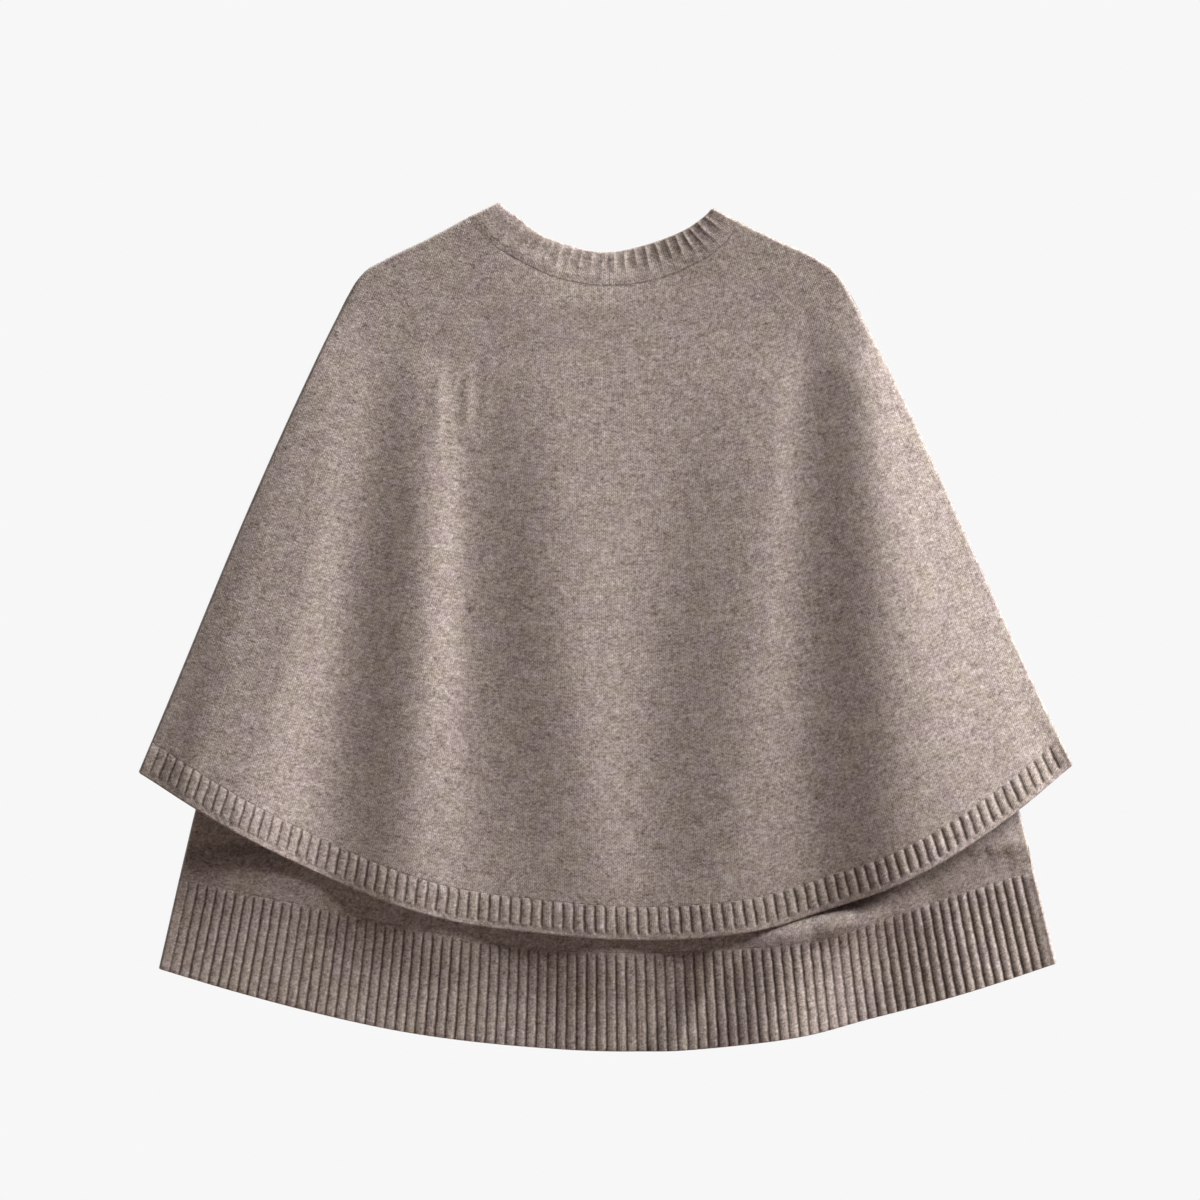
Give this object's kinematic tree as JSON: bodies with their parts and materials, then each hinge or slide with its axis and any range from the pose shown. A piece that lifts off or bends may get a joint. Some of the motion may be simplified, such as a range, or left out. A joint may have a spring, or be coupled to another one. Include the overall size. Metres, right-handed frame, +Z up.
{
  "type": "knitted poncho sweater laid flat",
  "caption": "Knitted poncho sweater laid flat on its front: a flared cape with a narrow ribbed hem over a longer body with a wide ribbed hem, both hung from one ribbed neckband.",
  "frame": {"origin": "middle of the garment's outline, on the surface that it lies on", "axes": "+Z up from that surface, through the garment's back, which lies uppermost; +Y towards the neck; +X to the right as the laid garment is looked down on"},
  "size_m": [0.727, 0.661, 0.0389],
  "materials": {
    "cape_knit": "heathered taupe wool in plain knit, matt with a soft brushed nap",
    "body_knit": "the same heathered taupe wool in plain knit, matt with a soft nap",
    "rib_knit": "the same heathered taupe wool in one-by-one rib, matt with a soft nap"
  },
  "bodies": {
    "root": {"cape_back": "cape_knit", "cape_back_hem": "rib_knit", "cape_front": "cape_knit", "cape_front_hem": "rib_knit", "body_back": "body_knit", "body_back_hem": "rib_knit", "body_front": "body_knit", "body_front_hem": "rib_knit", "neckband_back": "rib_knit", "neckband_front": "rib_knit"}
  },
  "joints": []
}
